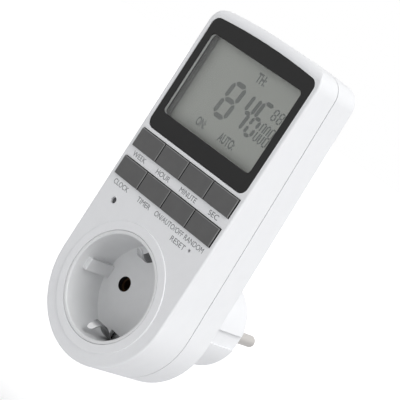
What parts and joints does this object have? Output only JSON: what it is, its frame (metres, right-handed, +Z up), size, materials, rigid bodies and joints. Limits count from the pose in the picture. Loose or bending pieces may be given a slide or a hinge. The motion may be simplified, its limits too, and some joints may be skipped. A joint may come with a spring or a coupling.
{
  "type": "plug in timer switch",
  "caption": "Digital timer switch that plugs into an earthed wall socket and switches an outlet on its front, with a liquid crystal display, sprung keys and a reset button.",
  "frame": {"origin": "centre of the plug face, midway between the two plug pins", "axes": "+Y towards the wall along the plug pins, +Z up towards the display end, +X to the right as seen from the front"},
  "size_m": [0.0586, 0.0827, 0.1356],
  "materials": {
    "white_shell": "fine satin moulded plastic",
    "socket_white": "smooth satin moulded plastic",
    "frame_black": "satin black plastic",
    "window_clear": "clear polished plastic",
    "lcd_grey": "grey green polariser film",
    "holder_grey": "moulded plastic",
    "key_grey": "satin dark grey plastic",
    "rubber_dark": "silicone rubber",
    "button_grey": "moulded plastic",
    "black_plastic": "moulded plastic",
    "lamp_smoke": "dark tinted resin",
    "board_green": "lacquered circuit board",
    "board_brown": "paper circuit board",
    "chip_black": "epoxy",
    "nickel": "nickel plate",
    "screw_steel": "zinc plated steel",
    "relay_blue": "moulded plastic",
    "capacitor_yellow": "moulded plastic",
    "capacitor_black": "printed sleeve without print",
    "varistor_blue": "dipped epoxy",
    "resistor_tan": "lacquered ceramic",
    "carrier_dark": "heat resistant plastic",
    "brass": "bright brass",
    "pin_nickel": "dull nickel plate",
    "lead_brown": "plain insulation",
    "lead_red": "plain insulation",
    "lead_blue": "plain insulation"
  },
  "bodies": {
    "housing": {"front_shell": "white_shell", "rear_shell": "white_shell", "plug_neck": "white_shell", "case_screws": "screw_steel", "display_frame": "frame_black", "display_window": "window_clear", "lcd_holder": "holder_grey", "lcd_glass": "lcd_grey", "lcd_connectors": "rubber_dark", "key_mat": "rubber_dark", "reset_switch": "black_plastic", "lamp": "lamp_smoke", "control_board": "board_green", "controller_chip": "chip_black", "crystal": "nickel", "control_board_screws": "screw_steel", "board_link": "black_plastic", "power_board": "board_brown", "power_board_screws": "screw_steel", "relay": "relay_blue", "film_capacitor": "capacitor_yellow", "electrolytic_capacitor": "capacitor_black", "varistor": "varistor_blue", "fuse": "resistor_tan", "resistors": "resistor_tan", "rectifier_diodes": "chip_black", "backup_battery": "nickel", "battery_strap": "screw_steel", "socket_insert": "socket_white", "contact_carrier": "carrier_dark", "contact_line": "brass", "contact_neutral": "brass", "earth_spring": "nickel", "earth_link": "nickel", "plug_insert": "white_shell", "plug_pin_line": "pin_nickel", "plug_pin_neutral": "pin_nickel", "plug_earth_strip": "nickel", "live_lead": "lead_brown", "switched_lead": "lead_red", "neutral_lead": "lead_blue"},
    "week_key": {"key_week": "key_grey"},
    "hour_key": {"key_hour": "key_grey"},
    "minute_key": {"key_minute": "key_grey"},
    "second_key": {"key_second": "key_grey"},
    "clock_key": {"key_clock": "key_grey"},
    "timer_key": {"key_timer": "key_grey"},
    "mode_key": {"key_mode": "key_grey"},
    "random_key": {"key_random": "key_grey"},
    "reset_key": {"reset_button": "button_grey"}
  },
  "joints": [
    {"name": "press_week", "type": "slide", "parent": "housing", "child": "week_key", "axis": [0, 1, 0], "range_m": [0, 0.0006], "stiffness_N_per_m": 1500},
    {"name": "press_hour", "type": "slide", "parent": "housing", "child": "hour_key", "axis": [0, 1, 0], "range_m": [0, 0.0006], "stiffness_N_per_m": 1500},
    {"name": "press_minute", "type": "slide", "parent": "housing", "child": "minute_key", "axis": [0, 1, 0], "range_m": [0, 0.0006], "stiffness_N_per_m": 1500},
    {"name": "press_second", "type": "slide", "parent": "housing", "child": "second_key", "axis": [0, 1, 0], "range_m": [0, 0.0006], "stiffness_N_per_m": 1500},
    {"name": "press_clock", "type": "slide", "parent": "housing", "child": "clock_key", "axis": [0, 1, 0], "range_m": [0, 0.0006], "stiffness_N_per_m": 1500},
    {"name": "press_timer", "type": "slide", "parent": "housing", "child": "timer_key", "axis": [0, 1, 0], "range_m": [0, 0.0006], "stiffness_N_per_m": 1500},
    {"name": "press_mode", "type": "slide", "parent": "housing", "child": "mode_key", "axis": [0, 1, 0], "range_m": [0, 0.0006], "stiffness_N_per_m": 1500},
    {"name": "press_random", "type": "slide", "parent": "housing", "child": "random_key", "axis": [0, 1, 0], "range_m": [0, 0.0006], "stiffness_N_per_m": 1500},
    {"name": "press_reset", "type": "slide", "parent": "housing", "child": "reset_key", "axis": [0, 1, 0], "range_m": [0, 0.0003], "stiffness_N_per_m": 1500}
  ]
}
